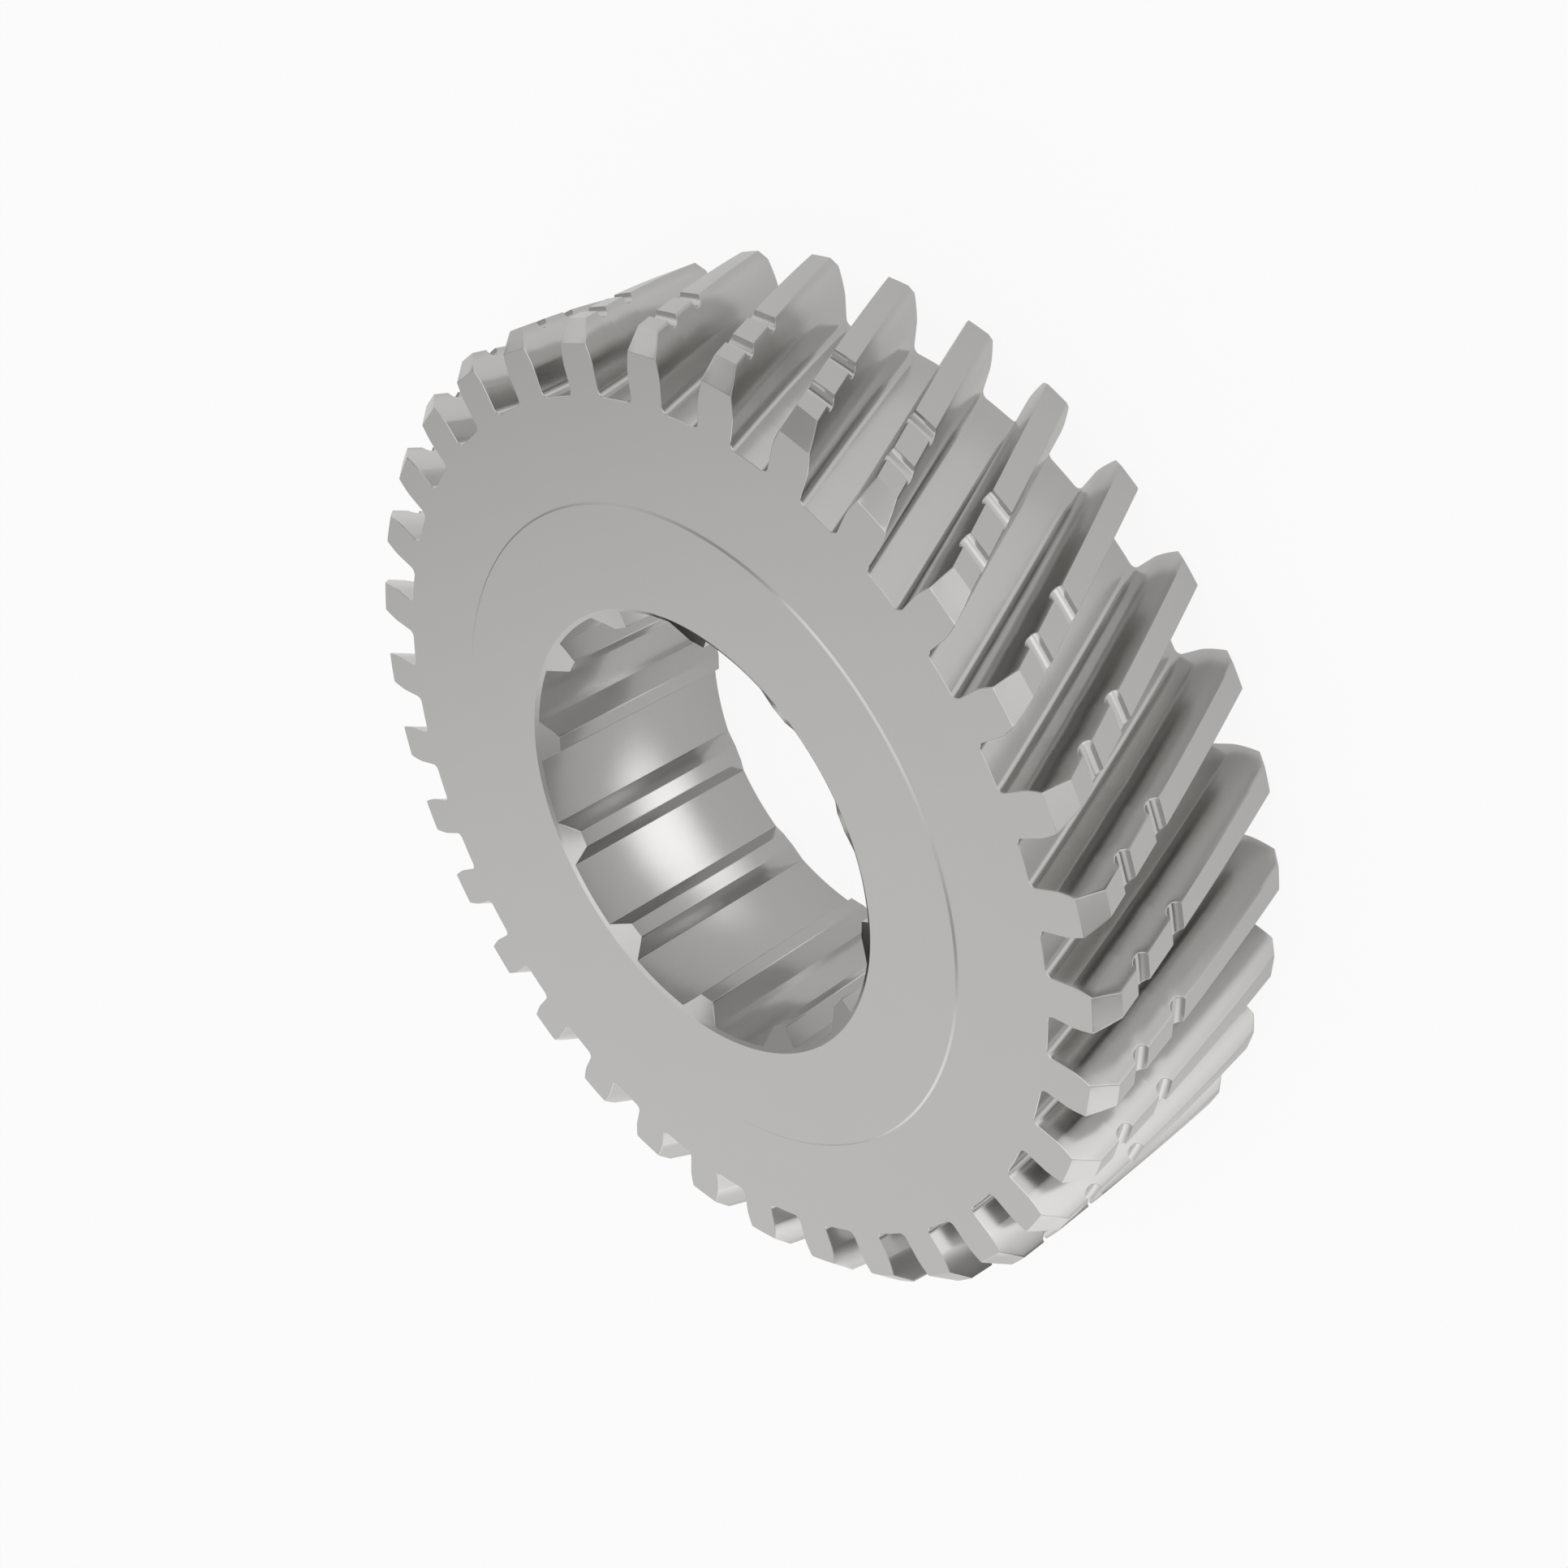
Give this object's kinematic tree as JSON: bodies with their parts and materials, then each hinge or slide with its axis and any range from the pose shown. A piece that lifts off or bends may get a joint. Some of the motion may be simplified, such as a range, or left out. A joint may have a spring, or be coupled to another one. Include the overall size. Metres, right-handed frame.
{
  "type": "helical gear",
  "caption": "Left-hand helical gear with a splined bore, chamfered tooth ends, shallow grooves turned around the tooth tips and a slightly raised hub face.",
  "frame": {"origin": "on the gear's axis, in the plane of the flat rear face", "axes": "+Z along the gear's axis towards the front face with the raised hub face; +X through the middle of a tooth at half the face width and through the middle of a spline space"},
  "size_m": [0.095, 0.095, 0.0236],
  "materials": {
    "steel": "satin machined steel, finely turned faces, smooth ground flanks"
  },
  "bodies": {
    "root": {"helical_gear": "steel"}
  },
  "joints": []
}
